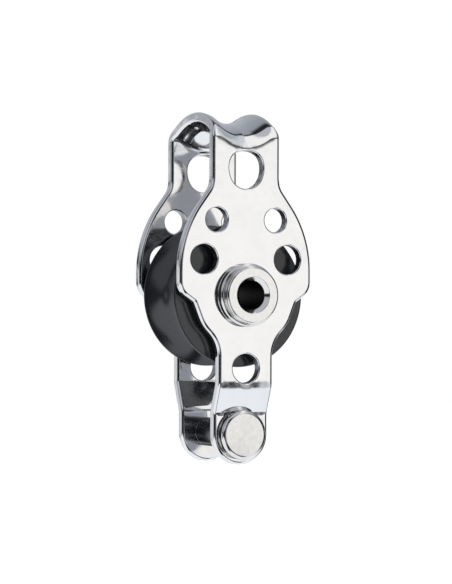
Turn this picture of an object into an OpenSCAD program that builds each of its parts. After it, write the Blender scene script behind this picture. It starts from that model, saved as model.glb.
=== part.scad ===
// Single ball-bearing block with a becket. The origin is the sheave axis on the block's mid-plane,
// +Z runs along the block to the saddle head, and Y is the sheave axis, with the front cheek at -Y.

/* [Strap sheet] */
// Thickness of the stainless sheet
sheet_t = 1.6; // [1.3:0.1:1.9]
// Clear width between the two cheeks
cheek_gap = 12.8; // [12.2:0.1:13.6]
// Rounding of the tumbled sheet edges
edge_r = 0.5; // [0.2:0.05:0.6]

/* [Cheek outline] */
// Half width of the neck below the head
neck_w = 5.82; // [5.5:0.02:6.4]
// Height of the corner where the neck widens into the shoulder
shoulder_z = 16.8; // [16.4:0.1:17.4]
// Radius of the shoulder corner
shoulder_r = 3.3; // [2.5:0.1:4.5]
// Distance the bulge stands out past the rim of the sheave it covers
bulge_cover = 0.26; // [0.1:0.02:0.6]
// Height of the corner between the shoulder and the bulge
bulge_z = 9.35; // [9:0.05:9.7]
// Radius of the bulge's long curve
bulge_r = 17; // [14:0.5:18]
// Height of the lower corner of the bulge
jaw_z = 0.6; // [0.2:0.1:0.9]
// Radius of the lower corner of the bulge
jaw_r = 2.8; // [2:0.1:3.2]
// Half width at the notch below the bulge
notch_w = 8.8; // [8.5:0.05:9.1]
// Drop from the lower corner of the bulge to the notch
notch_drop = 1.72; // [1.5:0.02:2.1]
// Radius of the notch
notch_r = 0.8; // [0.5:0.1:1.2]
// Half width at the hip, where the taper steepens
hip_w = 7.4; // [7.2:0.05:7.6]
// Height of the hip
hip_z = -4.55; // [-4.8:0.05:-4.3]
// Radius of the hip
hip_r = 6; // [3:0.5:7]
// Height of the corner where the tail narrows to the ears
waist_z = -7.36; // [-7.6:0.02:-7.2]
// Radius of the corner where the tail narrows to the ears
waist_r = 5; // [3:0.5:5.5]
// Half width of the ears and of the tail above them
ear_w = 4.68; // [4.5:0.02:5.1]

/* [Joggle of the ears] */
// Distance the ears are set inward
joggle_in = 1.66; // [0.8:0.02:2]
// Height of the upper bend of the joggle
joggle_z = -13.7; // [-14.2:0.1:-13.4]
// Length of the joggle along the block, from bend to bend
joggle_len = 4.3; // [3.4:0.1:4.6]
// Radius of the joggle's bends, at the middle of the sheet
joggle_r = 2; // [1.2:0.1:2.4]

/* [Saddle head] */
// Height of the crest over the middle of the head
crest_z = 26.8; // [26.4:0.1:27.6]
// Rise of the two horns above the middle of the crest
horn_rise = 1.66; // [1:0.02:2.2]
// Half length of the crest from horn to horn
horn_w = 5.08; // [4.8:0.02:5.4]
// Radius of the valley between the horns
valley_r = 6.6; // [6:0.1:7]
// Outer radius of the crown over the arch
crown_r = 12; // [10.5:0.5:14]
// Outer radius of the bends into the cheeks
bend_r = 2.7; // [2.3:0.1:3]

/* [Holes in the cheeks] */
// Diameter of the large hole in the head
head_hole_d = 5.84; // [5.4:0.02:6.2]
// Height of the large hole in the head
head_hole_z = 19.25; // [18.95:0.05:19.45]
// Diameter of the shoulder holes
shoulder_hole_d = 3.7; // [3.2:0.1:4]
// Distance of each shoulder hole from the middle line
shoulder_hole_x = 5.06; // [4.8:0.02:5.3]
// Height of the shoulder holes
shoulder_hole_z = 11.55; // [11.3:0.05:11.8]
// Diameter of the bulge holes
bulge_hole_d = 4.5; // [4:0.1:4.8]
// Distance of each bulge hole's centre in from the edge of the bulge
bulge_hole_in = 4.16; // [3.8:0.02:4.4]
// Height of the bulge holes
bulge_hole_z = 5.5; // [5.2:0.1:5.8]
// Diameter of the tail hole
tail_hole_d = 4.5; // [4:0.1:5]
// Height of the tail hole
tail_hole_z = -11.24; // [-11.4:0.02:-10.9]

/* [Hollow rivet] */
// Bore through the hollow rivet
rivet_bore_d = 4.4; // [3.8:0.1:4.6]
// Wall of the rivet tube
rivet_wall = 0.8; // [0.7:0.05:0.9]
// Rounding of the bore's two mouths
mouth_r = 0.6; // [0.3:0.05:0.8]
// Diameter of the turned head on the front
rivet_head_d = 8.8; // [8.4:0.05:9.4]
// Height of the turned head
rivet_head_h = 1.14; // [0.9:0.02:1.4]
// Diameter of the rolled head on the back
rolled_head_d = 8.3; // [8:0.1:9]
// Height of the rolled head
rolled_head_h = 0.95; // [0.8:0.05:1.2]
// Rounding of the rolled head's rim
rolled_r = 0.7; // [0.4:0.05:0.75]
// Diameter of the washers under the rivet heads
washer_d = 9.74; // [9.5:0.02:10.2]
// Thickness of the washers
washer_t = 1.24; // [0.8:0.02:1.5]
// Rounding of the washers' outer rims
washer_rim_r = 0.4; // [0.2:0.05:0.6]

/* [Sheave] */
// Diameter of the sheave over its flanges
sheave_d = 22.2; // [21.4:0.1:22.6]
// Clearance between the sheave and each cheek
side_clear = 0.95; // [0.4:0.05:1.3]
// Diameter at the bottom of the rope groove
groove_d = 15.2; // [14.8:0.1:15.8]
// Thickness of the flanges at their rims, beside the rope groove
rim_t = 0.35; // [0.3:0.05:1.2]
// Rounding of the flanges' outer edges
flange_r = 0.25; // [0.1:0.05:0.3]

/* [Bearing] */
// Diameter of a bearing ball
ball_d = 2.4; // [2.2:0.05:2.5]
// Least gap between two balls of a row
ball_gap = 0.05; // [0.02:0.01:0.1]
// Wall of the inner race under the balls
race_wall = 0.94; // [0.8:0.02:1.1]
// Thickness of the rib between the two ball rows
rib_t = 2.4; // [1.6:0.1:2.8]

/* [Becket post] */
// Height of the post's axis, which the ears are rounded about
post_z = -21.46; // [-21.8:0.02:-21.2]
// Diameter of the post's shank
post_shank_d = 3; // [2.6:0.1:3.4]
// Outer diameter of the spacer tube between the ears
spacer_d = 4.5; // [4.2:0.1:5.2]
// Diameter of the front head where it meets the ear
post_head_d = 7.62; // [7.2:0.02:8.2]
// Height of the front head
post_head_h = 1.38; // [1:0.02:1.6]
// Rounding of the front head's rim
post_rim_r = 0.6; // [0.4:0.05:0.8]
// Width of the bevel under the front head, which clears the joggle
post_bevel_w = 0.76; // [0.7:0.02:0.9]
// Height of the bevel under the front head
post_bevel_h = 0.22; // [0.2:0.02:0.3]
// Diameter of the formed head on the back
formed_head_d = 6.2; // [5.8:0.1:6.6]
// Height of the formed head on the back
formed_head_h = 0.9; // [0.7:0.05:1.1]
// Rounding of the formed head's rim
formed_r = 0.8; // [0.4:0.05:0.9]

/* [Fits] */
// Clearance between the balls and their tracks
ball_fit = 0.03; // [0.02:0.01:0.06]
// Clearance around the rivet, the post and their shanks
shank_fit = 0.03; // [0.02:0.01:0.06]
// Clearance between the race flanges and the bore of the sheave
flange_gap = 0.3; // [0.2:0.05:0.5]
// Clearance between the sheave's rib and the inner race
rib_gap = 0.7; // [0.4:0.05:0.9]

/* [Hidden] */
tube_d = rivet_bore_d + 2 * rivet_wall;
tube_seat_r = tube_d / 2 + shank_fit;

// Bearing, from the rivet tube outward. A row is as full as its balls allow.
ball_r = ball_d / 2;
track_r = ball_r + ball_fit;
inner_track_r = tube_seat_r + race_wall;
pitch_r = inner_track_r + track_r;
outer_track_r = pitch_r + track_r;
ball_count = floor(180 / asin((ball_d + ball_gap) / (2 * pitch_r)));

// Sides of a full turn on the round pieces
round_fn = 96;
// Depth by which a rounding tool breaks a face, so that it crosses the face at a small angle
graze = 0.02;
// Length by which a cutting tool stands clear of what it cuts
clear = 1;
// Small rounding that breaks the corners of the turned pieces
break_r = 0.15;

bulge_w = sheave_d / 2 + bulge_cover;
bulge_hole_x = bulge_w - bulge_hole_in;
strap_w = cheek_gap + 2 * sheet_t;
cheek_y = strap_w / 2;
gap_y = cheek_gap / 2;
ear_gap = cheek_gap - 2 * joggle_in;
ear_y = cheek_y - joggle_in;
shank_seat_r = post_shank_d / 2 + shank_fit;

function ball_name(row, i) = str("ball_", row, "_", i < 10 ? "0" : "", i);

// Corners of one edge of a cheek, from the neck down:
// half width, height, corner radius and degrees from facet to facet
notch_z = jaw_z - notch_drop;
tip_z = post_z - ear_w;
corners = [
    [neck_w, crest_z, 0],
    [neck_w, shoulder_z, shoulder_r, 9],
    [bulge_w, bulge_z, bulge_r, 5],
    [bulge_w, jaw_z, jaw_r, 10],
    [notch_w, notch_z, notch_r, 12],
    [hip_w, hip_z, hip_r, 8],
    [ear_w, waist_z, waist_r, 9],
    [ear_w, tip_z, ear_w, 8],
    [0, tip_z, 0]
];

function unit(v) = v / norm(v);
function left_of(v) = [-v.y, v.x];
function pair(v) = [v.x, v.y];
function reverse(list) = [for (k = [len(list) - 1:-1:0]) list[k]];

// Arc of radius r in the corner at here, between before and after. Each point comes with the unit
// normal on the left of the path.
function arc(before, here, after, r, step) =
    let (
        a = unit(here - before),
        b = unit(after - here),
        turn = atan2(a.x * b.y - a.y * b.x, a * b),
        side = sign(turn),
        out0 = left_of(a),
        n = max(2, ceil(abs(turn) / step)),
        centre = here - r * tan(abs(turn) / 2) * a + side * r * out0)
    [for (k = [0:n])
        let (
            phi = turn * k / n,
            out = [out0.x * cos(phi) - out0.y * sin(phi), out0.x * sin(phi) + out0.y * cos(phi)])
        concat(centre - side * r * out, out)];

// Arc in corner i of a list of two coordinates and a corner radius
function corner_arc(list, i, step) =
    let (n = len(list))
    arc(pair(list[(i + n - 1) % n]), pair(list[i]), pair(list[(i + 1) % n]), list[i].z, step);

// Closed outline with rounded corners
function rounded(list, step) =
    [for (i = [0:len(list) - 1])
        each list[i].z == 0 ? [pair(list[i])] : [for (p = corner_arc(list, i, step)) pair(p)]];

// Middle line of the sheet across the head: crown arc, bend, then straight down the cheek
mid_crown = crown_r - sheet_t / 2;
mid_bend = bend_r - sheet_t / 2;
mid_y = cheek_y - sheet_t / 2;
crown_angle = asin((mid_y - mid_bend) / (mid_crown - mid_bend));
bend_z = crest_z - crown_r + (crown_r - bend_r) * cos(crown_angle);

// Stations along one half of the strap from the crest down:
// place on the middle line in Y and Z, angle of its normal, then the edge's X and outward normal
crown_steps = 5;
bend_steps = 7;
joggle_step = 5;
function crown_point(q) = [mid_crown * sin(q), crest_z - crown_r + mid_crown * cos(q), q];
function bend_point(q) = [mid_y - mid_bend + mid_bend * sin(q), bend_z + mid_bend * cos(q), q];
function head_w(q) = horn_w + (neck_w - horn_w) * pow(sin(q), 2);

joggle_line = [
    [mid_y, waist_z, 0],
    [mid_y, joggle_z, joggle_r],
    [mid_y - joggle_in, joggle_z - joggle_len, joggle_r],
    [mid_y - joggle_in, tip_z, 0]
];
joggle = [for (i = [1, 2], p = corner_arc(joggle_line, i, joggle_step))
    [p.x, p.y, atan2(p.z, p[3]), ear_w, 1, 0]];
cheek_edge = [for (i = [1:6]) each corner_arc(corners, i, corners[i][3])];
// The ear ends on the last facet before the tip
ear_edge = [for (p = corner_arc(corners, 7, corners[7][3])) if (p.x > edge_r) p];

half_stations = concat(
    [for (k = [0:crown_steps - 1])
        let (q = crown_angle * (k + 0.5) / crown_steps) concat(crown_point(q), [head_w(q), 1, 0])],
    [for (k = [0:bend_steps])
        let (q = crown_angle + (90 - crown_angle) * k / bend_steps)
        concat(bend_point(q), [head_w(q), 1, 0])],
    [for (e = cheek_edge) [mid_y, e.y, 90, e.x, e.z, e[3]]],
    joggle,
    [for (e = ear_edge) [mid_y - joggle_in, e.y, 90, e.x, e.z, e[3]]]);

// Rise of the crest towards the horns: a valley arc that runs into the horn's arc
rise_angle = 2 * atan(horn_rise / horn_w);
horn_r = horn_w / sin(rise_angle) - valley_r;
valley_x = valley_r * sin(rise_angle);
function rise(x) =
    let (u = min(abs(x), horn_w))
    u < valley_x ? valley_r - sqrt(pow(valley_r, 2) - pow(u, 2))
                 : horn_rise - horn_r + sqrt(pow(horn_r, 2) - pow(horn_w - u, 2));
function rise_slope(x) =
    let (u = min(abs(x), horn_w)) u < valley_x ? asin(u / valley_r) : asin((horn_w - u) / horn_r);

// The rise fades out down the cheek between the bends and the shoulder
function rise_share(z) = min(1, max(0, (z - shoulder_z) / (bend_z - shoulder_z)));

// Rounded sheet edge: depth across the sheet and inset from the outline
edge_steps = 3;
edge_levels = concat(
    [for (k = [0:edge_steps]) let (p = 90 * k / edge_steps)
        [-sheet_t / 2 + edge_r * (1 - cos(p)), edge_r * (1 - sin(p))]],
    [for (k = [0:edge_steps]) let (p = 90 * k / edge_steps)
        [sheet_t / 2 - edge_r * (1 - sin(p)), edge_r * (1 - cos(p))]]);

// Point of the sheet: station s, side of the edge, depth n and inset d, pulled to the middle by share
face_steps = 10;
function sheet_point(s, face, side, n, d, share) =
    let (
        x = side * share * (s[3] - d * s[4]),
        z = s[1] - d * s[5],
        lift = rise_share(z) * rise(x),
        up = max(0, cos(s[2])) * rise_share(z),
        depth = n * (1 + (1 / cos(rise_slope(x)) - 1) * pow(up, 2)))
    [x, face * (s[0] + depth * sin(s[2])), z + depth * cos(s[2]) + lift];

// Closed loop of points round the sheet at one station
function station_loop(s, face) =
    let (last = len(edge_levels) - 1, flat = [for (k = [1:face_steps - 1]) 1 - 2 * k / face_steps])
    concat(
        [for (l = edge_levels) sheet_point(s, face, -1, l[0], l[1], 1)],
        [for (f = flat) sheet_point(s, face, -1, edge_levels[last][0], edge_r, f)],
        [for (k = [last:-1:0]) sheet_point(s, face, 1, edge_levels[k][0], edge_levels[k][1], 1)],
        [for (f = flat) sheet_point(s, face, 1, edge_levels[0][0], edge_r, f)]);

// Holes of one cheek: distance from the middle line, height and diameter
cheek_holes = [
    [0, head_hole_z, head_hole_d],
    [-shoulder_hole_x, shoulder_hole_z, shoulder_hole_d],
    [shoulder_hole_x, shoulder_hole_z, shoulder_hole_d],
    [-bulge_hole_x, bulge_hole_z, bulge_hole_d],
    [bulge_hole_x, bulge_hole_z, bulge_hole_d],
    [0, tail_hole_z, tail_hole_d]
];

// Turns what is drawn round Z so that it lies round Y
module along_y() { rotate([-90, 0, 0]) children(); }

// Solid of revolution round Y from a list of radius, place along Y and corner radius
module turned(profile, step = 15) {
    along_y() rotate_extrude($fn = round_fn) polygon(rounded(profile, step));
}

// Folded sheet with rounded edges and no holes
module sheet() {
    rows = concat(
        [for (s = reverse(half_stations)) station_loop(s, -1)],
        [for (s = half_stations) station_loop(s, 1)]);
    n = len(rows[0]);
    top = len(edge_levels) - 1;
    last = len(rows) - 1;
    // Index of the point on the right edge that faces point k of the left edge
    function across(k) = 2 * top + face_steps - k;
    // Strip k of the blunt ear tip, with the points of the flat faces on its first and last strip
    function tip_strip(k) =
        k == 0 ? concat([across(1)], [for (j = [0:face_steps - 1]) across(0) + j], [0, 1]) :
        k == top - 1 ? concat([k], [for (j = [0:face_steps]) top + j], [across(k)]) :
        [k, k + 1, across(k + 1), across(k)];
    walls = [for (i = [0:last - 1], j = [0:n - 1])
        let (a = i * n + j, b = i * n + (j + 1) % n)
        each [[a, a + n, b + n], [a, b + n, b]]];
    front_tip = [for (k = [0:top - 1]) tip_strip(k)];
    back_tip = [for (k = [0:top - 1]) [for (j = reverse(tip_strip(k))) last * n + j]];
    polyhedron(points = [for (r = rows) each r], faces = concat(walls, front_tip, back_tip));
}

// Punched hole through both cheeks, with tumbled edges
flare_steps = 4;
function flare(r, y, dir) = [for (k = [0:flare_steps]) let (p = 90 * k / flare_steps)
    [r + edge_r * (1 - cos(p)), y + dir * (graze - edge_r * (1 - sin(p)))]];
module punched(x, z, d) {
    half = concat(
        reverse(flare(d / 2, gap_y, -1)),
        flare(d / 2, cheek_y, 1),
        [[d / 2 + edge_r, cheek_y + clear], [0, cheek_y + clear]]);
    other = [for (p = reverse(half)) [p.x, -p.y]];
    translate([x, 0, z]) along_y() rotate_extrude($fn = round_fn) polygon(concat(other, half));
}

// Round hole of radius r through both cheeks, with plain edges for a rivet
module drilled(z, r) {
    translate([0, 0, z]) along_y() cylinder(h = 2 * cheek_y + 2 * clear, r = r, center = true, $fn = round_fn);
}

module strap() color("gainsboro")
    difference() {
        sheet();
        for (h = cheek_holes) punched(h.x, h.y, h.z);
        drilled(0, tube_seat_r);
        drilled(post_z, shank_seat_r);
    }

// Rivet through both cheeks, with its heads on the outer faces of the washers
head_y = cheek_y + washer_t;
module hollow_rivet() color("silver")
    turned([
        [rivet_bore_d / 2, -head_y - rivet_head_h, mouth_r],
        [rivet_head_d / 2, -head_y - rivet_head_h, break_r],
        [rivet_head_d / 2, -head_y - break_r, 0],
        [rivet_head_d / 2 - break_r, -head_y, 0],
        [tube_d / 2, -head_y, 0],
        [tube_d / 2, head_y, 0],
        [rolled_head_d / 2, head_y, 0],
        [rolled_head_d / 2, head_y + rolled_head_h, rolled_r],
        [rivet_bore_d / 2, head_y + rolled_head_h, mouth_r]
    ]);

// Washer under a rivet head, on the front (-1) or the back (1)
module washer(face)
    turned([
        [tube_seat_r, face * cheek_y, 0],
        [washer_d / 2 - break_r, face * cheek_y, 0],
        [washer_d / 2, face * (cheek_y + break_r), 0],
        [washer_d / 2, face * head_y, washer_rim_r],
        [tube_seat_r, face * head_y, 0]
    ]);

module washer_front() color("silver") washer(-1);
module washer_back() color("silver") washer(1);

// Each ball row lies against the sheave's rib and against the flange of its own race half
row_y = rib_t / 2 + track_r;
flange_y = row_y + track_r;
track_step = 9;

// Half of the inner race, on the front (-1) or the back (1)
module race(face)
    turned([
        [tube_seat_r, 0, 0],
        [inner_track_r, 0, 0],
        [inner_track_r, face * flange_y, track_r],
        [outer_track_r - flange_gap, face * flange_y, break_r],
        [outer_track_r - flange_gap, face * gap_y, break_r],
        [tube_seat_r, face * gap_y, 0]
    ], track_step);

module race_front() color("dimgray") race(-1);
module race_back() color("dimgray") race(1);

// Sheave, whose groove is an arc through both rim edges and the groove's bottom
sheave_r = sheave_d / 2;
sheave_y = gap_y - side_clear;
groove_y = sheave_y - rim_t;
groove_depth = (sheave_d - groove_d) / 2;
groove_r = (pow(groove_y, 2) + pow(groove_depth, 2)) / (2 * groove_depth);
rib_r = inner_track_r + rib_gap;
module sheave() color("#26272a")
    along_y() rotate_extrude($fn = round_fn) difference() {
        polygon(rounded([
            [rib_r, -rib_t / 2, break_r],
            [outer_track_r, -rib_t / 2, track_r],
            [outer_track_r, -sheave_y, break_r],
            [sheave_r, -sheave_y, flange_r],
            [sheave_r, sheave_y, flange_r],
            [outer_track_r, sheave_y, break_r],
            [outer_track_r, rib_t / 2, track_r],
            [rib_r, rib_t / 2, break_r]
        ], track_step));
        translate([groove_d / 2 + groove_r, 0]) circle(r = groove_r, $fn = round_fn);
    }

// Ball i of a row on the front (-1) or the back (1)
module ball(face, i) color("whitesmoke")
    rotate([0, 360 * (i - 1) / ball_count, 0]) translate([pitch_r, face * row_y, 0])
        sphere(r = ball_r, $fn = 32);

// Post through the ears: a solid rivet with a turned head in front and a formed one behind
module becket_post() color("silver")
    translate([0, 0, post_z]) turned([
        [0, -ear_y - post_head_h, 0],
        [post_head_d / 2, -ear_y - post_head_h, post_rim_r],
        [post_head_d / 2, -ear_y - post_bevel_h, 0],
        [post_head_d / 2 - post_bevel_w, -ear_y, 0],
        [post_shank_d / 2, -ear_y, 0],
        [post_shank_d / 2, ear_y, 0],
        [formed_head_d / 2, ear_y, 0],
        [formed_head_d / 2, ear_y + formed_head_h, formed_r],
        [0, ear_y + formed_head_h, 0]
    ]);

module becket_spacer() color("darkgray")
    translate([0, 0, post_z]) turned([
        [shank_seat_r, -ear_gap / 2, 0],
        [spacer_d / 2, -ear_gap / 2, break_r],
        [spacer_d / 2, ear_gap / 2, break_r],
        [shank_seat_r, ear_gap / 2, 0]
    ]);

strap();
hollow_rivet();
washer_front();
washer_back();
race_front();
race_back();
sheave();
for (i = [1:ball_count]) {
    ball(-1, i);
    ball(1, i);
}
becket_post();
becket_spacer();
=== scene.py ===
"""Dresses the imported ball-bearing block: polished strap, turned rivets and black sheave in a white studio."""
import math

import bpy
import numpy as np
from mathutils import Matrix, Vector
from mathutils.geometry import delaunay_2d_cdt


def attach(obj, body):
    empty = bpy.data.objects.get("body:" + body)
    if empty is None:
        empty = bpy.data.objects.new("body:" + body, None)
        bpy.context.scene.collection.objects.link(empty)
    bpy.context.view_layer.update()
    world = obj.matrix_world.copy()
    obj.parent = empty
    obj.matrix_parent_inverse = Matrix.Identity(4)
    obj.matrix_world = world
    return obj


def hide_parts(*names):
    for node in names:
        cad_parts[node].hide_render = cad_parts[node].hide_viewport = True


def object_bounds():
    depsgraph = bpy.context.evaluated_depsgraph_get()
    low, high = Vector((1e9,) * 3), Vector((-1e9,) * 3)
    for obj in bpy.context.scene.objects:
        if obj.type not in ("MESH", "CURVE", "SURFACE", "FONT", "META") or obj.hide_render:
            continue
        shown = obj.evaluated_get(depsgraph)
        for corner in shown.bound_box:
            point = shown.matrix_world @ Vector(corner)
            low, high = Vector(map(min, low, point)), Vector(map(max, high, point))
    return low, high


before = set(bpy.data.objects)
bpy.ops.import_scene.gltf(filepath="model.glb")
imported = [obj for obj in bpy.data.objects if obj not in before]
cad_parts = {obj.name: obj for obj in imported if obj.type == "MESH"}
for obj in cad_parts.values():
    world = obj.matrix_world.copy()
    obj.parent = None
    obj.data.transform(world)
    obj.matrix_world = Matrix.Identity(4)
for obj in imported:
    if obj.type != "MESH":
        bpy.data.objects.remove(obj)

bl_info = {
    "name": "Sailing block",
    "version": (1, 0, 0),
    "blender": (4, 5, 0),
    "location": "View3D > Sidebar > Block",
    "description": "Strap, rivets, sheave, bearing and becket of a single block, with studio light",
    "category": "Add Mesh",
}

CAD_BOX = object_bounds()
MM = 0.001


# ---------------------------------------------------------------- sizes a user would change

def length(name, description, mm):
    """A length property: shown in scene units, given here in millimetres."""
    return bpy.props.FloatProperty(name=name, description=description, default=mm * MM,
                                   subtype="DISTANCE", unit="LENGTH", precision=5)


def linear(value):
    """An sRGB hex colour turned to linear: each channel c becomes ((c + 0.055) / 1.055) to the power
    2.4, or c / 12.92 below 0.04045."""
    c = np.array([int(value[i:i + 2], 16) for i in (1, 3, 5)]) / 255
    return tuple(np.where(c <= 0.04045, c / 12.92, ((c + 0.055) / 1.055) ** 2.4))


def colour(name, description, value):
    return bpy.props.FloatVectorProperty(name=name, description=description, default=linear(value),
                                         subtype="COLOR", size=3, min=0, max=1)


class BLOCK_PG_strap(bpy.types.PropertyGroup):
    sheet: length("Sheet", "Thickness of the stainless sheet", 1.6)
    gap: length("Cheek gap", "Clear width between the cheeks", 12.8)
    edge: length("Edge rounding", "Rounding of the tumbled edges", 0.5)
    joggle: length("Joggle", "Distance the ears are set inward", 1.66)
    horn: length("Horn rise", "Rise of the two horns above the middle of the crest", 1.66)
    steel: colour("Steel", "Colour of the polished stainless sheet", "#F8F7F6")


class BLOCK_PG_rivet(bpy.types.PropertyGroup):
    bore: length("Bore", "Bore through the hollow rivet", 4.4)
    head: length("Head", "Diameter of the turned head", 8.8)
    washer: length("Washer", "Diameter of the washers", 9.74)
    steel: colour("Steel", "Colour of the turned stainless steel", "#F2F0ED")


class BLOCK_PG_sheave(bpy.types.PropertyGroup):
    diameter: length("Diameter", "Diameter over the flanges", 22.2)
    clearance: length("Side clearance", "Clearance between the sheave and each cheek", 0.95)
    rim: length("Rim", "Thickness of the flanges at their rims", 0.35)
    acetal: colour("Acetal", "Colour of the black acetal", "#1A1C20")


class BLOCK_PG_becket(bpy.types.PropertyGroup):
    head: length("Head", "Diameter of the post's front head", 7.62)
    rise: length("Head height", "Height of the post's front head", 1.38)
    spacer: length("Spacer", "Outer diameter of the spacer tube", 4.5)


class BLOCK_PG_stage(bpy.types.PropertyGroup):
    drop: length("Floor drop", "Distance from the lowest point of the block down to the floor", 45.0)
    paper: colour("Paper", "Colour of the floor", "#F4F5F6")


GROUPS = {"block_strap": BLOCK_PG_strap, "block_rivet": BLOCK_PG_rivet, "block_sheave": BLOCK_PG_sheave,
          "block_becket": BLOCK_PG_becket, "block_stage": BLOCK_PG_stage}


# ---------------------------------------------------------------- shapes, in millimetres

def arc(before, here, after, radius, step):
    """Arc that rounds the corner at here: its centre lies on the corner's bisector, one radius from
    both sides. Returns the points and the unit normals on the left of the path."""
    before, here, after = (np.asarray(p[:2], float) for p in (before, here, after))
    a = (here - before) / np.hypot(*(here - before))
    b = (after - here) / np.hypot(*(after - here))
    turn = math.atan2(a[0] * b[1] - a[1] * b[0], a @ b)
    phi = turn * np.linspace(0, 1, max(2, math.ceil(math.degrees(abs(turn)) / step)) + 1)
    out = np.stack([-a[1] * np.cos(phi) - a[0] * np.sin(phi), a[0] * np.cos(phi) - a[1] * np.sin(phi)], 1)
    side = math.copysign(1, turn)
    centre = here - radius * math.tan(abs(turn) / 2) * a + side * radius * np.array([-a[1], a[0]])
    return centre - side * radius * out, out


def rounded(corners, step=9, closed=True):
    """Outline through corners of two coordinates and a radius, each rounded by its arc. Returns the
    points and outward unit normals. An open outline starts and ends on corners of radius 0."""
    n, points, normals = len(corners), [], []
    for i, (x, y, r) in enumerate(corners):
        if r:
            p, out = arc(corners[i - 1], corners[i], corners[(i + 1) % n], r, step)
        else:
            j = 1 if i == 0 else i
            d = np.subtract(corners[j][:2], corners[j - 1][:2])
            p, out = np.array([[x, y]], float), np.array([[-d[1], d[0]]]) / np.hypot(*d)
        points.append(p)
        normals.append(out)
    points, normals = np.concatenate(points), np.concatenate(normals)
    x, y = points.T
    area = np.sum(x * np.roll(y, -1) - y * np.roll(x, -1))
    return points, normals * (-1 if area > 0 else 1)


def revolve(points, normals, turns=192, closed=True):
    """Surface of revolution about Y: the profile point (r, y) at turn t goes to (r cos t, y, r sin t),
    and its normal turns with it. An open profile starts and ends on the axis, in one shared point."""
    t = 2 * np.pi * np.arange(turns) / turns
    ring = points if closed else points[1:-1]
    norm = normals if closed else normals[1:-1]
    c, s = np.cos(t), np.sin(t)
    place = np.stack([np.outer(ring[:, 0], c), np.repeat(ring[:, 1:], turns, 1), np.outer(ring[:, 0], s)], 2)
    out = np.stack([np.outer(norm[:, 0], c), np.repeat(norm[:, 1:], turns, 1), np.outer(norm[:, 0], s)], 2)
    m = len(ring)
    i, j = np.meshgrid(np.arange(m if closed else m - 1), np.arange(turns), indexing="ij")
    i2, j2 = (i + 1) % m, (j + 1) % turns
    faces = np.stack([i * turns + j, i * turns + j2, i2 * turns + j2, i2 * turns + j], 2).reshape(-1, 4).tolist()
    place, out = place.reshape(-1, 3), out.reshape(-1, 3)
    if not closed:
        poles = np.array([[0, points[0, 1], 0], [0, points[-1, 1], 0]])
        ends = np.array([[0, normals[0, 1], 0], [0, normals[-1, 1], 0]])
        a, b = len(place), len(place) + 1
        k, k2 = np.arange(turns), (np.arange(turns) + 1) % turns
        last = (m - 1) * turns
        faces += np.stack([np.full(turns, a), k2, k], 1).tolist()
        faces += np.stack([np.full(turns, b), last + k, last + k2], 1).tolist()
        place, out = np.concatenate([place, poles]), np.concatenate([out, ends])
    return place, out, faces


def add_piece(name, place, out, faces, material, body, slot, node, shift=(0, 0, 0), walls=None):
    """Puts points in millimetres, their shading normals and their faces into a mesh object that rides
    on a body and stands for a node. Walls are a second material and the points whose faces take it."""
    place = (place + np.array(shift)) * MM
    mesh = bpy.data.meshes.new(name)
    faces = outward(place, out, faces)
    mesh.from_pydata(place.tolist(), [], faces)
    mesh.shade_smooth()
    mesh.update()
    mesh.normals_split_custom_set_from_vertices((out / np.linalg.norm(out, axis=1)[:, None]).tolist())
    mesh.materials.append(material)
    if walls:
        mesh.materials.append(walls[0])
        first = np.array([f[0] for f in faces])
        mesh.polygons.foreach_set("material_index", walls[1][first].astype(np.int32))
    piece = bpy.data.objects.new(name, mesh)
    bpy.context.scene.collection.objects.link(piece)
    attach(piece, body)
    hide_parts(node)
    return piece


def outward(place, out, faces):
    """Turns the faces whose winding runs against the shading normals."""
    quads = [f for f in faces if len(f) == 4]
    result = []
    for group in (quads, [f for f in faces if len(f) == 3]):
        if group:
            f = np.array(group)
            flat = np.cross(place[f[:, 1]] - place[f[:, 0]], place[f[:, 2]] - place[f[:, 0]])
            wrong = np.einsum("ij,ij->i", flat, out[f].mean(1)) < 0
            f[wrong] = f[wrong][:, ::-1]
            result += f.tolist()
    return result


# ---------------------------------------------------------------- the folded strap

# Corners of one edge of a cheek, from the neck down: half width, height, radius
CHEEK = [(5.82, 26.8, 0), (5.82, 16.8, 3.3), (11.36, 9.35, 17), (11.36, 0.6, 2.8), (8.8, -1.12, 0.8),
         (7.4, -4.55, 6), (4.68, -7.36, 5), (4.68, -26.14, 4.68), (0, -26.14, 0)]
EAR_W, POST_Z, HOLE_EDGE = 4.68, -21.46, 0.22
CREST_Z, CROWN_R, BEND_R, HORN_W, VALLEY_R, NECK_W = 26.8, 12.0, 2.7, 5.08, 6.6, 5.82
JOGGLE_Z, JOGGLE_LEN, JOGGLE_R = -13.7, 4.3, 2.0
# Holes of a cheek: distance from the middle line, height, radius, and whether its edges are tumbled
HOLES = [(0, 19.25, 2.92, True), (5.06, 11.55, 1.85, True), (-5.06, 11.55, 1.85, True),
         (7.2, 5.5, 2.25, True), (-7.2, 5.5, 2.25, True), (0, -11.24, 2.25, True),
         (0, 0, 3.03, False), (0, POST_Z, 1.53, False)]


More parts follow.
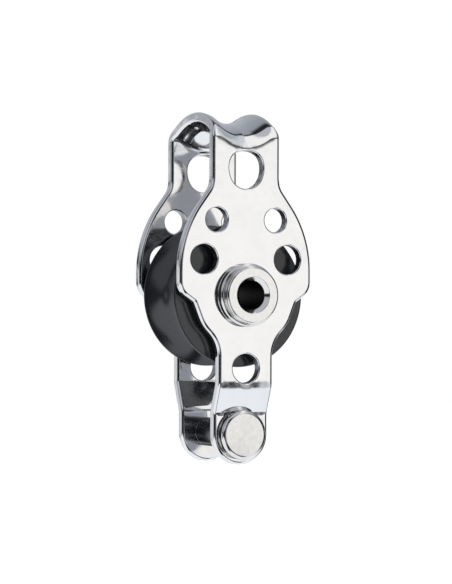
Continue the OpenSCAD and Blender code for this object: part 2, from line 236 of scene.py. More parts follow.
# The studio that polished steel mirrors: columns side by side along X. Each has the x where it starts,
# the width of the seam before it, and its colours by the angle round the X axis in degrees: 0 in
# front, 90 above, 180 behind
DARK, WHITE, PAPER, DIM, GREY, PALE = "#1E1F23", "#FFFFFF", "#F2F6FC", "#9296A0", "#B6BAC2", "#DADDE2"
LOW = [(-172, PALE), (-150, PAPER)]
HIGH = [(94, GREY), (98, DARK), (110, DARK), (116, DIM), (166, GREY), (174, PALE)]
STUDIO = [
    (-1.0, 0.0, [(0, PALE)]),
    (-0.995, 0.004, [(0, DARK)]),
    (-0.965, 0.03, [(-176, PALE), (-150, PAPER), (-20, PAPER), (-13, DARK), (14, DARK), (22, GREY), (94, GREY), (98, DARK),
                  (110, DARK), (116, DIM), (150, GREY), (172, DIM), (175.6, DIM), (177.2, PALE)]),
    (-0.4425, 0.006, [(-176, PALE), (-150, PAPER), (-20, PAPER), (-13, DARK), (14, DARK), (22, GREY), (94, GREY), (98, DARK),
                      (110, DARK), (116, DIM), (150, GREY), (166, GREY), (171, PALE)]),
    (-0.4262, 0.005, [(-174, DARK), (-165, PALE), (-150, PAPER), (-58, PAPER), (-50, DARK), (45, DARK), (53, GREY),
                     (94, GREY), (98, DARK), (110, DARK), (116, DIM), (150, GREY), (165, DIM), (173, DARK)]),
    (-0.36, 0.04, [*LOW, (-56, PAPER), (-50, DARK), (45, DARK),
                   (53, GREY), *HIGH]),
    (-0.2, 0.06, [*LOW, (-42, PAPER), (-38, DARK), (35, DARK),
                  (42, GREY), *HIGH]),
    (-0.06, 0.03, [*LOW, (-31, PAPER), (-29, DARK), (-17, DARK), (-14, PAPER), (13, PAPER), (16, DARK), (28, DARK),
                   (34, GREY), *HIGH]),
    (0.06, 0.03, [*LOW, (-28, PAPER), (-24, DARK), (20, DARK), (26, GREY), *HIGH]),
    (0.3, 0.1, [(-176, DIM), (-150, PAPER), (-40, PAPER), (-36, DARK), (-6, DARK), (-4, WHITE), (5, WHITE),
                (9, "#3A3C41"), (13, "#3A3C41"), (17, "#FAFBFC"), (96, "#F6F7F9"), (101, DARK), (105, DARK), (110, DIM),
                (166, "#B8BCC4"), (174, DIM)]),
    (0.4695, 0.006, [(-176, DIM), (-150, PAPER), (-12, PAPER), (-4, WHITE), (5, WHITE), (12, DARK), (18, DARK),
                     (24, "#CDD1D6"), (104, "#CDD1D6"), (110, DARK), (117, DARK), (123, DIM), (166, "#B8BCC4"), (174, DIM)]),
    (0.55, 0.08, [*LOW, (-20, PAPER), (-14, DARK), (14, DARK), (22, DIM), *HIGH]),
    (0.75, 0.08, [*LOW, (-56, PAPER), (-50, DARK), (60, DARK), (70, DIM), *HIGH]),
    (0.9, 0.06, [(0, DARK)]),
    (0.995, 0.004, [(0, PALE)])]


class Fold:
    """The fold of the flat blank. The middle line runs from the crest along the crown's arc, the bend
    and the cheek, through the joggle to the ear; V is the length along it, Y and Z its place and Q the
    angle of its normal from +Z towards +Y."""

    def __init__(self, strap):
        t, cheek = strap.sheet / MM, (strap.gap / 2 + strap.sheet) / MM
        self.t, self.edge = t, strap.edge / MM
        crown, bend, y = CROWN_R - t / 2, BEND_R - t / 2, cheek - t / 2
        angle = math.asin((y - bend) / (crown - bend))
        self.bend_z = CREST_Z - CROWN_R + (CROWN_R - BEND_R) * math.cos(angle)
        q1, q2 = np.linspace(0, angle, 200), np.linspace(angle, np.pi / 2, 200)[1:]
        over = np.stack([crown * np.sin(q1), CREST_Z - CROWN_R + crown * np.cos(q1), q1], 1)
        turn = np.stack([y - bend + bend * np.sin(q2), self.bend_z + bend * np.cos(q2), q2], 1)
        inset = strap.joggle / MM
        low = JOGGLE_Z - JOGGLE_LEN
        ends = [(y, 0), (y, JOGGLE_Z), (y - inset, low), (y - inset, CHEEK[-1][1])]
        step = [np.column_stack([p, np.arctan2(n[:, 0], n[:, 1])])
                for p, n in (arc(*ends[i - 1:i + 2], JOGGLE_R, 0.25) for i in (1, 2))]
        tip = np.array([[y - inset, CHEEK[-1][1] - 5, np.pi / 2]])
        line = np.concatenate([over, turn, *step, tip])
        self.y, self.z, self.q = line.T
        self.v = np.concatenate([[0], np.cumsum(np.hypot(*np.diff(line[:, :2], axis=0).T))])
        self.v_bend = self.v[len(q1) + len(q2) - 1]
        self.v_low = self.v[-2]
        self.joggle_span = (self.v[len(q1) + len(q2)] - 0.3, self.v[-2] + 0.3)
        # The saddle: a valley arc that runs into each horn's arc
        rise = strap.horn / MM
        a = 2 * math.atan(rise / HORN_W)
        self.rise, self.horn_r, self.valley_x = rise, HORN_W / math.sin(a) - VALLEY_R, VALLEY_R * math.sin(a)

    def along(self, z):
        """Length along the blank of a height z on the cheek or, below the joggle, on the ear."""
        return np.where(z > JOGGLE_Z + 1, self.v_bend + self.bend_z - z, self.v_low + self.z[-2] - z)

    def saddle(self, x):
        """Rise of the crest at half length x, and its slope."""
        u = np.minimum(abs(x), HORN_W)
        w = np.minimum(u, self.valley_x)
        low = VALLEY_R - np.sqrt(VALLEY_R ** 2 - w ** 2)
        high = self.rise - self.horn_r + np.sqrt(self.horn_r ** 2 - (HORN_W - np.maximum(u, self.valley_x)) ** 2)
        slope = np.where(u < self.valley_x, w / np.sqrt(VALLEY_R ** 2 - w ** 2),
                         (HORN_W - u) / np.sqrt(self.horn_r ** 2 - (HORN_W - np.maximum(u, self.valley_x)) ** 2))
        return np.where(u < self.valley_x, low, high), slope

    def place(self, x, v, n, normal):
        """Folds points of the blank. The point (x, v) at depth n goes to the middle line at length v,
        plus n times the line's normal, plus the saddle's rise at x. The normal (across, along, depth)
        is carried by the fold and then sheared by the saddle's slope."""
        side, a = np.where(v < 0, -1.0, 1.0), abs(v)
        y, z, q = (np.interp(a, self.v, f) for f in (self.y, self.z, self.q))
        share = np.clip((z - CHEEK[1][1]) / (self.bend_z - CHEEK[1][1]), 0, 1)
        lift, slope = self.saddle(x)
        up = np.clip(np.cos(q), 0, None) * share
        deep = n * (1 + (np.sqrt(1 + slope ** 2) - 1) * up ** 2)
        point = np.stack([x, side * (y + deep * np.sin(q)), z + deep * np.cos(q) + share * lift], 1)
        lx, lv, ln = normal.T
        lv = lv * side
        nz = ln * np.cos(q) - lv * np.sin(q)
        out = np.stack([lx - share * slope * np.sign(x) * nz * up, side * (ln * np.sin(q) + lv * np.cos(q)), nz], 1)
        return point, out


def blank_outline(fold):
    """Outline of half the blank from the crest to the ear's tip: x, v and the unit normal in the blank.
    Across the head the half width grows from horn to neck with the squared sine of the fold's angle."""
    v = np.linspace(0, fold.v_bend, 60)
    q = np.interp(v, fold.v, fold.q)
    parts = [np.stack([HORN_W + (NECK_W - HORN_W) * np.sin(q) ** 2, v, np.ones_like(v), 0 * v], 1)]
    for i in range(1, 7):
        p, out = arc(*CHEEK[i - 1:i + 2], CHEEK[i][2], 2.5)
        parts.append(np.stack([p[:, 0], fold.along(p[:, 1]), out[:, 0], -out[:, 1]], 1))
    v = np.linspace(*fold.joggle_span, 40)
    parts.append(np.stack([np.full_like(v, EAR_W), v, np.ones_like(v), 0 * v], 1))
    p, out = arc(*CHEEK[6:9], EAR_W, 2.5)
    parts.append(np.stack([p[:, 0], fold.along(p[:, 1]), out[:, 0], -out[:, 1]], 1))
    half = np.concatenate(parts)
    # Fill the long straight runs so that no edge is longer than 0.6 mm
    run = np.hypot(*np.diff(half[:, :2], axis=0).T)
    at = np.concatenate([[0], np.cumsum(run)])
    fine = np.unique(np.concatenate([at] + [np.linspace(a, b, math.ceil((b - a) / 0.6) + 1)
                                            for a, b in zip(at[:-1], at[1:]) if b - a > 0.6]))
    keep = np.concatenate([[True], np.diff(at) > 1e-6])
    return np.stack([np.interp(fine, at[keep], half[keep, k]) for k in range(4)], 1)


def blank_loops(fold):
    """Closed loops of the blank as arrays of x, v and outward normal, each with its edge rounding."""
    half = blank_outline(fold)
    flip = half[::-1]
    outer = np.concatenate([half, flip[1:] * [-1, 1, -1, 1], half[1:] * [-1, -1, -1, -1], flip[1:-1] * [1, -1, 1, -1]])
    loops = [(outer, fold.edge)]
    t = 2 * np.pi * np.arange(96) / 96
    ring = np.stack([np.cos(t), np.sin(t)], 1)
    for x, z, r, soft in HOLES:
        for side in (-1, 1):
            v = side * float(fold.along(np.array(float(z))))
            loops.append((np.concatenate([np.array([x, v]) + r * ring, -ring], 1), HOLE_EDGE if soft else 0.05))
    return loops


def strap_mesh(fold, steps=7, grid=0.5):
    """The strap's surface. Round every loop runs a strip whose profile is a quarter circle, the sheet's
    wall and a second quarter circle; the two faces of the sheet fill what lies between the strips, with
    a Delaunay net over the strips' own points and a square grid of points between them."""
    p = np.linspace(0, np.pi / 2, steps)
    xs, vs, ns, normals, quads, start, rims = [], [], [], [], [], 0, []
    for loop, r in blank_loops(fold):
        depth = np.concatenate([-fold.t / 2 + r * (1 - np.cos(p)), fold.t / 2 - r * (1 - np.sin(p))])
        inset = np.concatenate([r * (1 - np.sin(p)), r * (1 - np.cos(p))])
        side = np.concatenate([np.sin(p), np.cos(p)])
        face = np.concatenate([-np.cos(p), np.sin(p)])
        m, k = len(loop), len(depth)
        xs.append((loop[:, 0] - inset[:, None] * loop[:, 2]).ravel())
        vs.append((loop[:, 1] - inset[:, None] * loop[:, 3]).ravel())
        ns.append(np.repeat(depth, m))
        normals.append(np.stack([np.outer(side, loop[:, 2]), np.outer(side, loop[:, 3]), np.repeat(face, m).reshape(k, m)],
                                2).reshape(-1, 3))
        i, j = np.meshgrid(np.arange(k - 1), np.arange(m), indexing="ij")
        quads.append(start + np.stack([i * m + j, i * m + (j + 1) % m, (i + 1) * m + (j + 1) % m, (i + 1) * m + j],
                                      2).reshape(-1, 4))
        rims.append((start, start + (k - 1) * m, m))
        start += k * m
    x, v = np.concatenate(xs), np.concatenate(vs)
    rim = np.concatenate([np.arange(a, a + m) for a, _, m in rims])
    top = np.concatenate([np.arange(b, b + m) for _, b, m in rims])
    flat = np.stack([x[rim], v[rim]], 1)
    edges, at = [], 0
    for _, _, m in rims:
        k = np.arange(m)
        edges.append(np.stack([at + k, at + (k + 1) % m], 1))
        at += m
    edges = np.concatenate(edges)
    outer, circles = flat[:rims[0][2]], [(c.mean(0), np.hypot(*(c[0] - c.mean(0))))
                                          for c in np.split(flat, np.cumsum([m for _, _, m in rims])[:-1])[1:]]
    span = np.abs(flat).max(0)
    gx, gv = np.meshgrid(np.arange(-span[0], span[0], grid), np.arange(-span[1], span[1], grid))
    inner = np.stack([gx.ravel(), gv.ravel()], 1)
    inner = inner[inside(inner, outer) & (clearance(inner, outer) > 0.6 * grid)]
    for centre, r in circles:
        inner = inner[np.hypot(*(inner - centre).T) > r + 0.6 * grid]
    points, _, tris, origin, _, _ = delaunay_2d_cdt([Vector(q) for q in np.concatenate([flat, inner]).tolist()],
                                                    edges.tolist(), [], 0, 1e-6)
    source = np.array([o[0] for o in origin])
    points, tris = np.array([tuple(q) for q in points]), np.array(tris)
    middle = points[tris].mean(1)
    keep = inside(middle, outer)
    for centre, r in circles:
        keep &= np.hypot(*(middle - centre).T) > r * math.cos(math.pi / 96) - 1e-6
    tris = source[tris[keep]]
    # The same net serves both faces: first the strips' own points, then the grid's
    new = start + np.arange(len(inner))
    xs, vs = np.concatenate([x, inner[:, 0], inner[:, 0]]), np.concatenate([v, inner[:, 1], inner[:, 1]])
    count = len(inner)
    ns = np.concatenate([*ns, np.full(count, -fold.t / 2), np.full(count, fold.t / 2)])
    normals = np.concatenate([*normals, np.tile([0, 0, -1.0], (count, 1)), np.tile([0, 0, 1.0], (count, 1))])
    place, out = fold.place(xs, vs, ns, normals)
    under, over = np.concatenate([rim, new]), np.concatenate([top, new + count])
    # The punched walls: points of the holes' strips that face along the sheet
    index = np.arange(len(place))
    punched = (index >= rims[1][0]) & (index < start) & (abs(normals[:, 2]) < 0.5)
    return place, out, np.concatenate(quads).tolist() + under[tris].tolist() + over[tris].tolist(), punched


def inside(points, loop):
    """Whether each point lies in the loop: a ray towards +x crosses it an odd number of times."""
    a, b = loop, np.roll(loop, -1, 0)
    y = points[:, 1:]
    crosses = (a[:, 1] > y) != (b[:, 1] > y)
    rise = np.where(b[:, 1] == a[:, 1], 1e-12, b[:, 1] - a[:, 1])
    return np.sum(crosses & (points[:, :1] < a[:, 0] + (y - a[:, 1]) * (b[:, 0] - a[:, 0]) / rise), 1) % 2 == 1


def clearance(points, loop):
    """Distance from each point to the nearest point of the loop."""
    return np.concatenate([np.sqrt(((part[:, None] - loop) ** 2).sum(2)).min(1) for part in np.array_split(points, 16)])


# ---------------------------------------------------------------- materials

def add(tree, kind, settings=None, links=None):
    """Adds a node, sets its attributes and unlinked inputs, and links its inputs to given sockets."""
    node = tree.nodes.new(kind)
    for key, value in (settings or {}).items():
        if isinstance(key, int) or key in node.inputs:
            node.inputs[key].default_value = value
        else:
            setattr(node, key, value)
    for key, socket in (links or {}).items():
        tree.links.new(socket, node.inputs[key])
    return node


def new_material(name):
    """An empty material with its output and a principled shader."""
    material = bpy.data.materials.new(name)
    material.use_nodes = True
    tree = material.node_tree
    tree.nodes.clear()
    shader = add(tree, "ShaderNodeBsdfPrincipled")
    add(tree, "ShaderNodeOutputMaterial", links={"Surface": shader.outputs[0]})
    place = add(tree, "ShaderNodeTexCoord").outputs["Object"]
    return material, tree, shader, place


def polished_stainless(tint):
    """Electropolished 316 stainless sheet: rolled, punched, folded, then tumbled and polished. A clear
    mirror with a faint orange-peel waviness 3 mm long and haze where the tumbling media ran."""
    material, tree, shader, place = new_material("electropolished_stainless_sheet")
    shader.inputs["Metallic"].default_value = 1.0
    wave = add(tree, "ShaderNodeTexNoise", {"Scale": 330.0, "Detail": 1.5, "Roughness": 0.4}, {"Vector": place})
    haze = add(tree, "ShaderNodeTexNoise", {"Scale": 900.0, "Detail": 5.0, "Roughness": 0.6}, {"Vector": place})
    rough = add(tree, "ShaderNodeMapRange", {"From Min": 0.35, "From Max": 0.75, "To Min": 0.05, "To Max": 0.13},
                {"Value": haze.outputs["Fac"]})
    tree.links.new(rough.outputs[0], shader.inputs["Roughness"])
    tone = add(tree, "ShaderNodeMix", {"data_type": "RGBA", "A": (*tint, 1), "B": (*(c * 0.93 for c in tint), 1)},
               {"Factor": wave.outputs["Fac"]})
    tree.links.new(tone.outputs["Result"], shader.inputs["Base Color"])
    bump = add(tree, "ShaderNodeBump", {"Strength": 0.06, "Distance": 0.0004}, {"Height": wave.outputs["Fac"]})
    tree.links.new(bump.outputs[0], shader.inputs["Normal"])
    return material


def turned_stainless(name, tint, axis_z, rough=(0.08, 0.14), bore=0.0):
    """Stainless bar faced in a lathe and polished: fine feed rings about the piece's own axis, a mottled haze
    1 mm across, a rougher bore where the polishing wheel doesn't reach, and painted shade in the bore."""
    material, tree, shader, place = new_material(name)
    shader.inputs["Metallic"].default_value = 1.0
    axes = add(tree, "ShaderNodeSeparateXYZ", links={0: place})
    height = add(tree, "ShaderNodeMath", {"operation": "SUBTRACT", 1: axis_z * MM}, {0: axes.outputs[2]})
    square = add(tree, "ShaderNodeMath", {"operation": "MULTIPLY"}, {0: height.outputs[0], 1: height.outputs[0]})
    sum_ = add(tree, "ShaderNodeMath", {"operation": "MULTIPLY_ADD"},
               {0: axes.outputs[0], 1: axes.outputs[0], 2: square.outputs[0]})
    radius = add(tree, "ShaderNodeMath", {"operation": "SQRT"}, {0: sum_.outputs[0]})
    mottle = add(tree, "ShaderNodeTexNoise", {"Scale": 1600.0, "Detail": 4.0, "Roughness": 0.6}, {"Vector": place})
    inside = add(tree, "ShaderNodeMapRange", {"From Min": bore * MM, "From Max": (bore + 0.06) * MM,
                                              "To Min": 1.0, "To Max": 0.0}, {"Value": radius.outputs[0]})
    spread = add(tree, "ShaderNodeMapRange", {"From Min": 0.3, "From Max": 0.7, "To Min": rough[0], "To Max": rough[1]},
                 {"Value": mottle.outputs["Fac"]})
    dull = add(tree, "ShaderNodeMath", {"operation": "MULTIPLY_ADD", 1: 0.3}, {0: inside.outputs[0], 2: spread.outputs[0]})
    tree.links.new(dull.outputs[0] if bore else spread.outputs[0], shader.inputs["Roughness"])
    tone = add(tree, "ShaderNodeMix", {"data_type": "RGBA", "A": (*tint, 1), "B": (*(c * 0.94 for c in tint), 1)},
               {"Factor": mottle.outputs["Fac"]})
    # Painted shade: inside the bore the steel's tint gives way to a near-black base colour
    bore_painted_shade = add(tree, "ShaderNodeMix", {"data_type": "RGBA", "B": (0.05, 0.045, 0.045, 1)},
               {"Factor": inside.outputs[0], "A": tone.outputs["Result"]})
    tree.links.new((bore_painted_shade if bore else tone).outputs["Result"], shader.inputs["Base Color"])
    feed = add(tree, "ShaderNodeMath", {"operation": "MULTIPLY", 1: math.tau / (0.09 * MM)}, {0: radius.outputs[0]})
    rings = add(tree, "ShaderNodeMath", {"operation": "SINE"}, {0: feed.outputs[0]})
    both = add(tree, "ShaderNodeMath", {"operation": "MULTIPLY_ADD", 1: 0.12},
               {0: rings.outputs[0], 2: mottle.outputs["Fac"]})
    bump = add(tree, "ShaderNodeBump", {"Strength": 0.05, "Distance": 0.00003}, {"Height": both.outputs[0]})
    tree.links.new(bump.outputs[0], shader.inputs["Normal"])
    return material


def moulded_acetal(name, tint, rough, lighter=1.25):
    """Acetal, moulded and turned: waxy and satin, with a grain 0.3 mm across and paler scuffs."""
    material, tree, shader, place = new_material(name)
    shader.inputs["IOR"].default_value = 1.48
    shader.inputs["Specular IOR Level"].default_value = 1.0
    grain = add(tree, "ShaderNodeTexNoise", {"Scale": 3300.0, "Detail": 3.0}, {"Vector": place})
    scuff = add(tree, "ShaderNodeTexNoise", {"Scale": 420.0, "Detail": 6.0, "Roughness": 0.7}, {"Vector": place})
    worn = add(tree, "ShaderNodeMapRange", {"From Min": 0.5, "From Max": 0.8, "To Min": 0.0, "To Max": 1.0},
               {"Value": scuff.outputs["Fac"]})
    tone = add(tree, "ShaderNodeMix", {"data_type": "RGBA", "A": (*tint, 1), "B": (*(min(1, c * lighter) for c in tint), 1)},
               {"Factor": worn.outputs[0]})
    tree.links.new(tone.outputs["Result"], shader.inputs["Base Color"])
    spread = add(tree, "ShaderNodeMapRange", {"To Min": rough, "To Max": rough + 0.14}, {"Value": scuff.outputs["Fac"]})
    tree.links.new(spread.outputs[0], shader.inputs["Roughness"])
    bump = add(tree, "ShaderNodeBump", {"Strength": 0.15, "Distance": 0.00003}, {"Height": grain.outputs["Fac"]})
    tree.links.new(bump.outputs[0], shader.inputs["Normal"])
    return material


def dress(node, material):
    """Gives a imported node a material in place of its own."""
    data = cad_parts[node].data
    data.materials.clear()
    data.materials.append(material)


# ---------------------------------------------------------------- operators

class BLOCK_OT_strap(bpy.types.Operator):
    """Makes the folded stainless strap: two cheeks with their holes, saddle head and joggled ears"""
    bl_idname = "block.strap"
    bl_label = "Strap"

    def execute(self, context):
        strap = context.scene.block_strap
        place, out, faces, punched = strap_mesh(Fold(strap))
        # The hole walls are rougher, as sheared steel is, and their darker grey tint is painted shade inside the holes
        wall = turned_stainless("punched_stainless_wall_painted_shade", linear("#A3A4A8"), 0, (0.22, 0.34))
        add_piece("strap_sheet", place, out, faces, polished_stainless(strap.steel), "block", "polished_strap", "strap",
                  walls=(wall, punched))
        return {"FINISHED"}


class BLOCK_OT_rivet(bpy.types.Operator):
    """Makes the hollow rivet with its turned and rolled heads, and the two washers"""
    bl_idname = "block.rivet"
    bl_label = "Rivet and washers"

    def execute(self, context):
        rivet, strap = context.scene.block_rivet, context.scene.block_strap
        cheek, washer_t = (strap.gap / 2 + strap.sheet) / MM, 1.24
        bore, head, seat = rivet.bore / 2 / MM, rivet.head / 2 / MM, cheek + washer_t
        tube, rolled, front, back = bore + 0.8, 4.15, seat + 1.14, seat + 0.95
        steel = turned_stainless("faced_stainless_bar", rivet.steel, 0, bore=bore)
        # The mouth is a cone at 45 degrees with softened edges
        mouth = [(bore, -front + 0.62, 0.2), (bore + 0.62, -front, 0.12)]
        corners = [*mouth, (head, -front, 0.3), (head, -seat, 0.13), (tube, -seat, 0.03),
                   (tube, seat, 0.03), (rolled, seat, 0.05), (rolled, back, 0.7), (bore, back, 0.6)]
        add_piece("rivet_tube", *revolve(*rounded(corners)), steel, "block", "turned_steel", "hollow_rivet")
        inner, outer = tube + 0.03, rivet.washer / 2 / MM
        for face, name in ((-1, "front"), (1, "back")):
            ring = [(inner, face * cheek, 0.03), (outer, face * cheek, 0.13), (outer, face * seat, 0.4),
                    (inner, face * seat, 0.03)]
            add_piece(f"washer_ring_{name}", *revolve(*rounded(ring)), steel, "block", "turned_steel", f"washer_{name}")
        return {"FINISHED"}


class BLOCK_OT_sheave(bpy.types.Operator):
    """Makes the black sheave: rounded flanges, an arc groove and the two ball tracks in its bore"""
    bl_idname = "block.sheave"
    bl_label = "Sheave"

    def execute(self, context):
        sheave, gap = context.scene.block_sheave, context.scene.block_strap.gap
        r, y = sheave.diameter / 2 / MM, (gap / 2 - sheave.clearance) / MM
        half, edge, lip = y - sheave.rim / MM, 0.25, 0.1
        bottom, rib, track, bore, rib_bore = 7.6, 1.2, 1.23, 6.43, 4.67
        # The groove: an arc about a centre on the mid-plane, from lip to lip
        depth = r - bottom
        groove_r = (half ** 2 + depth ** 2) / (2 * depth)
        flank = math.asin(half / groove_r)
        reach = flank - lip * math.tan(flank / 2) / groove_r
        wall = [(r, -half, lip), (r, -y, edge), (bore, -y, 0.15), (bore, -rib, track), (rib_bore, -rib, 0.15),
                (rib_bore, rib, 0.15), (bore, rib, track), (bore, y, 0.15), (r, y, edge), (r, half, lip)]
        start, end = ((r - math.sin(flank), side * (half - math.cos(flank)), 0) for side in (-1, 1))
        guides = [start, *wall, end]
        parts = [arc(*guides[i - 1:i + 2], guides[i][2], 6) for i in range(1, len(guides) - 1)]
        a = np.linspace(reach, -reach, 90)
        ring = np.stack([-np.cos(a), np.sin(a)], 1)
        centre = np.array([bottom + groove_r, 0])
        points = np.concatenate([p for p, _ in parts] + [centre + groove_r * ring])
        normals = np.concatenate([-out for _, out in parts] + [-ring])
        black = moulded_acetal("turned_black_acetal", sheave.acetal, 0.14)
        add_piece("sheave_wheel", *revolve(points, normals, 256), black, "sheave", "sheave_plastic", "sheave")
        return {"FINISHED"}


class BLOCK_OT_bearing(bpy.types.Operator):
    """Dresses the race halves and the two rows of balls"""
    bl_idname = "block.bearing"
    bl_label = "Bearing"

    def execute(self, context):
        race = moulded_acetal("moulded_grey_acetal", linear("#2E2F33"), 0.4)
        ball = moulded_acetal("ground_white_acetal", linear("#E6E5DF"), 0.2, 0.9)
        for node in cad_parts:
            if node.startswith("race_"):
                dress(node, race)
            elif node.startswith("ball_"):
                dress(node, ball)
        return {"FINISHED"}


class BLOCK_OT_becket(bpy.types.Operator):
    """Makes the becket post with its two heads, and the spacer tube between the ears"""
    bl_idname = "block.becket"
    bl_label = "Becket"

    def execute(self, context):
        becket, strap = context.scene.block_becket, context.scene.block_strap
        steel_tint = context.scene.block_rivet.steel
        ear = (strap.gap / 2 + strap.sheet - strap.joggle) / MM
        inner, head, rise = ear - strap.sheet / MM, becket.head / 2 / MM, becket.rise / MM
        steel = turned_stainless("polished_stainless_head", steel_tint, POST_Z)
        corners = [(0, -ear - rise, 0), (head, -ear - rise, 0.6), (head, -ear - 0.22, 0.05), (head - 0.76, -ear, 0.05),
                   (1.5, -ear, 0.05), (1.5, ear, 0.05), (3.1, ear, 0.05), (3.1, ear + 0.9, 0.8), (0, ear + 0.9, 0)]
        add_piece("post_rivet", *revolve(*rounded(corners), closed=False), steel, "block", "turned_steel", "becket_post",
                  (0, 0, POST_Z))
        # The spacer's dark grey tint is painted shade, for the tube sits in the gap between the ears; its higher
        # roughness is the drawn tube's own
        tube = turned_stainless("drawn_stainless_tube_painted_shade", linear("#6E6F75"), POST_Z, (0.18, 0.26))
        outer = becket.spacer / 2 / MM
        ring = [(1.53, -inner, 0.03), (outer, -inner, 0.13), (outer, inner, 0.13), (1.53, inner, 0.03)]
        add_piece("spacer_tube", *revolve(*rounded(ring)), tube, "block", "turned_steel", "becket_spacer", (0, 0, POST_Z))
        return {"FINISHED"}


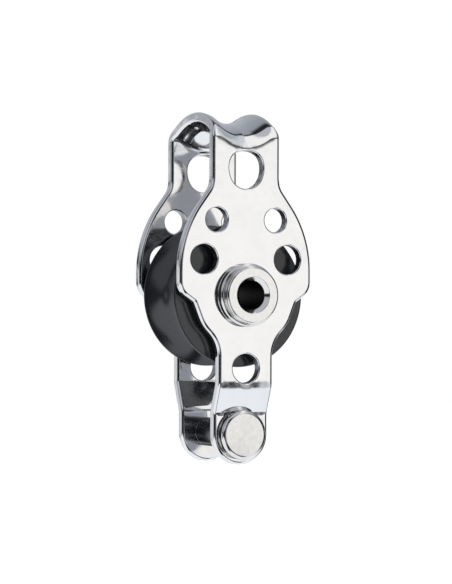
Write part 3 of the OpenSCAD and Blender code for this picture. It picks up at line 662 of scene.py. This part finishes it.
class BLOCK_OT_stage(bpy.types.Operator):
    """Makes the paper floor, the studio light and the camera at the photograph's place"""
    bl_idname = "block.stage"
    bl_label = "Stage"

    def execute(self, context):
        stage = context.scene.block_stage
        self.floor(stage)
        self.world(context.scene)
        self.camera(context.scene)
        context.scene.view_settings.view_transform = "Standard"
        return {"FINISHED"}

    def floor(self, stage):
        """A round sheet of paper, white where the camera sees it unshaded; mirrored rays don't see it."""
        z = CAD_BOX[0].z - stage.drop
        t = 2 * np.pi * np.arange(64) / 64
        ring = np.stack([1.5 * np.cos(t), 1.5 * np.sin(t), np.full(64, z)], 1)
        mesh = bpy.data.meshes.new("paper_floor")
        mesh.from_pydata(ring.tolist(), [], [list(range(64))])
        material, tree, shader, _ = new_material("matt_white_paper")
        shader.inputs["Base Color"].default_value = (*stage.paper, 1)
        shader.inputs["Roughness"].default_value = 0.9
        seen = add(tree, "ShaderNodeLightPath")
        either = add(tree, "ShaderNodeMath", {"operation": "MAXIMUM"})
        tree.links.new(seen.outputs["Is Camera Ray"], either.inputs[0])
        tree.links.new(seen.outputs["Is Glossy Ray"], either.inputs[1])
        share = add(tree, "ShaderNodeMath", {"operation": "MULTIPLY"})
        share.inputs[1].default_value = 0.45
        tree.links.new(either.outputs[0], share.inputs[0])
        shader.inputs["Emission Color"].default_value = (0.93, 0.96, 1.0, 1)
        tree.links.new(share.outputs[0], shader.inputs["Emission Strength"])
        mesh.materials.append(material)
        floor = bpy.data.objects.new("paper_floor", mesh)
        floor.visible_glossy = False
        bpy.context.scene.collection.objects.link(floor)

    def world(self, scene):
        """White light for diffuse surfaces, a white backdrop, and for mirrored rays the studio: along each
        column the colour is a ramp of the angle round the X axis, atan2(z, -y), and a smooth step of the
        direction's x leads from each column to the next."""
        world = bpy.data.worlds.new("white_tent")
        scene.world = world
        world.use_nodes = True
        tree = world.node_tree
        tree.nodes.clear()
        way = add(tree, "ShaderNodeTexCoord").outputs["Generated"]
        x, y, z = add(tree, "ShaderNodeSeparateXYZ", links={0: way}).outputs
        forward = add(tree, "ShaderNodeMath", {"operation": "MULTIPLY", 1: -1.0}, {0: y})
        around = add(tree, "ShaderNodeMath", {"operation": "ARCTAN2"}, {0: z, 1: forward.outputs[0]})
        turn = add(tree, "ShaderNodeMath", {"operation": "MULTIPLY_ADD", 1: 1 / math.tau, 2: 0.5}, {0: around.outputs[0]})
        room = None
        for start, seam, stops in STUDIO:
            column = self.ramp(tree, turn.outputs[0], [((a + 180) / 360, c) for a, c in stops])
            if room is None:
                room = column
                continue
            past = add(tree, "ShaderNodeMapRange", {"interpolation_type": "SMOOTHSTEP", "From Min": start - seam / 2,
                                                    "From Max": start + seam / 2}, {"Value": x})
            room = add(tree, "ShaderNodeMix", {"data_type": "RGBA"},
                       {"Factor": past.outputs[0], "A": room, "B": column}).outputs["Result"]
        studio = add(tree, "ShaderNodeBackground", {"Strength": 1.0}, {"Color": room})
        plain = add(tree, "ShaderNodeBackground", {"Color": (1, 1, 1, 1), "Strength": 1.0})
        seen = add(tree, "ShaderNodeLightPath")
        mix = add(tree, "ShaderNodeMixShader", links={0: seen.outputs["Is Glossy Ray"], 1: plain.outputs[0],
                                                      2: studio.outputs[0]})
        add(tree, "ShaderNodeOutputWorld", links={0: mix.outputs[0]})

    def ramp(self, tree, value, stops):
        """A colour ramp with its stops at given places, each of an sRGB hex colour."""
        node = add(tree, "ShaderNodeValToRGB", links={"Fac": value})
        elements = node.color_ramp.elements
        while len(elements) < len(stops):
            elements.new(0.5)
        while len(elements) > len(stops):
            elements.remove(elements[-1])
        for element, (place, value) in zip(elements, sorted(stops)):
            element.position, element.color = place, (*linear(value), 1)
        return node.outputs["Color"]

    def camera(self, scene):
        """Camera 0.4 m from the block, 27 degrees round to its left and level with it."""
        azimuth, elevation, roll, distance = math.radians(-27.21), math.radians(-0.37), math.radians(0.17), 0.39917
        back = Vector((math.sin(azimuth) * math.cos(elevation), -math.cos(azimuth) * math.cos(elevation),
                       math.sin(elevation)))
        right = Vector((math.cos(azimuth), math.sin(azimuth), 0))
        up = back.cross(right)
        right, up = right * math.cos(roll) + up * math.sin(roll), up * math.cos(roll) - right * math.sin(roll)
        lens = bpy.data.cameras.new("camera")
        lens.lens, lens.sensor_width = 157.48, 36.0
        lens.clip_start, lens.clip_end = 0.01, 10.0
        camera = bpy.data.objects.new("camera", lens)
        place = back * distance + right * 0.000542 + up * 0.000527
        camera.matrix_world = Matrix((right, up, back)).transposed().to_4x4()
        camera.location = place
        scene.collection.objects.link(camera)
        scene.camera = camera


class BLOCK_PT_panel(bpy.types.Panel):
    """Lists the block's sizes and the operators that make its pieces"""
    bl_label = "Sailing block"
    bl_idname = "BLOCK_PT_panel"
    bl_space_type = "VIEW_3D"
    bl_region_type = "UI"
    bl_category = "Block"

    def draw(self, context):
        for name, group in GROUPS.items():
            box = self.layout.box()
            for key in group.__annotations__:
                box.prop(getattr(context.scene, name), key)
        for operator in OPERATORS:
            self.layout.operator(operator.bl_idname)


OPERATORS = (BLOCK_OT_strap, BLOCK_OT_rivet, BLOCK_OT_sheave, BLOCK_OT_bearing, BLOCK_OT_becket, BLOCK_OT_stage)
CLASSES = (*GROUPS.values(), *OPERATORS, BLOCK_PT_panel)


def register():
    for cls in CLASSES:
        bpy.utils.register_class(cls)
    for name, group in GROUPS.items():
        setattr(bpy.types.Scene, name, bpy.props.PointerProperty(type=group))


def unregister():
    for name in GROUPS:
        delattr(bpy.types.Scene, name)
    for cls in reversed(CLASSES):
        bpy.utils.unregister_class(cls)


def main():
    """Registers the classes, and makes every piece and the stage."""
    register()
    for make in (bpy.ops.block.strap, bpy.ops.block.rivet, bpy.ops.block.sheave, bpy.ops.block.bearing,
                 bpy.ops.block.becket, bpy.ops.block.stage):
        make()


if __name__ == "__main__":
    main()
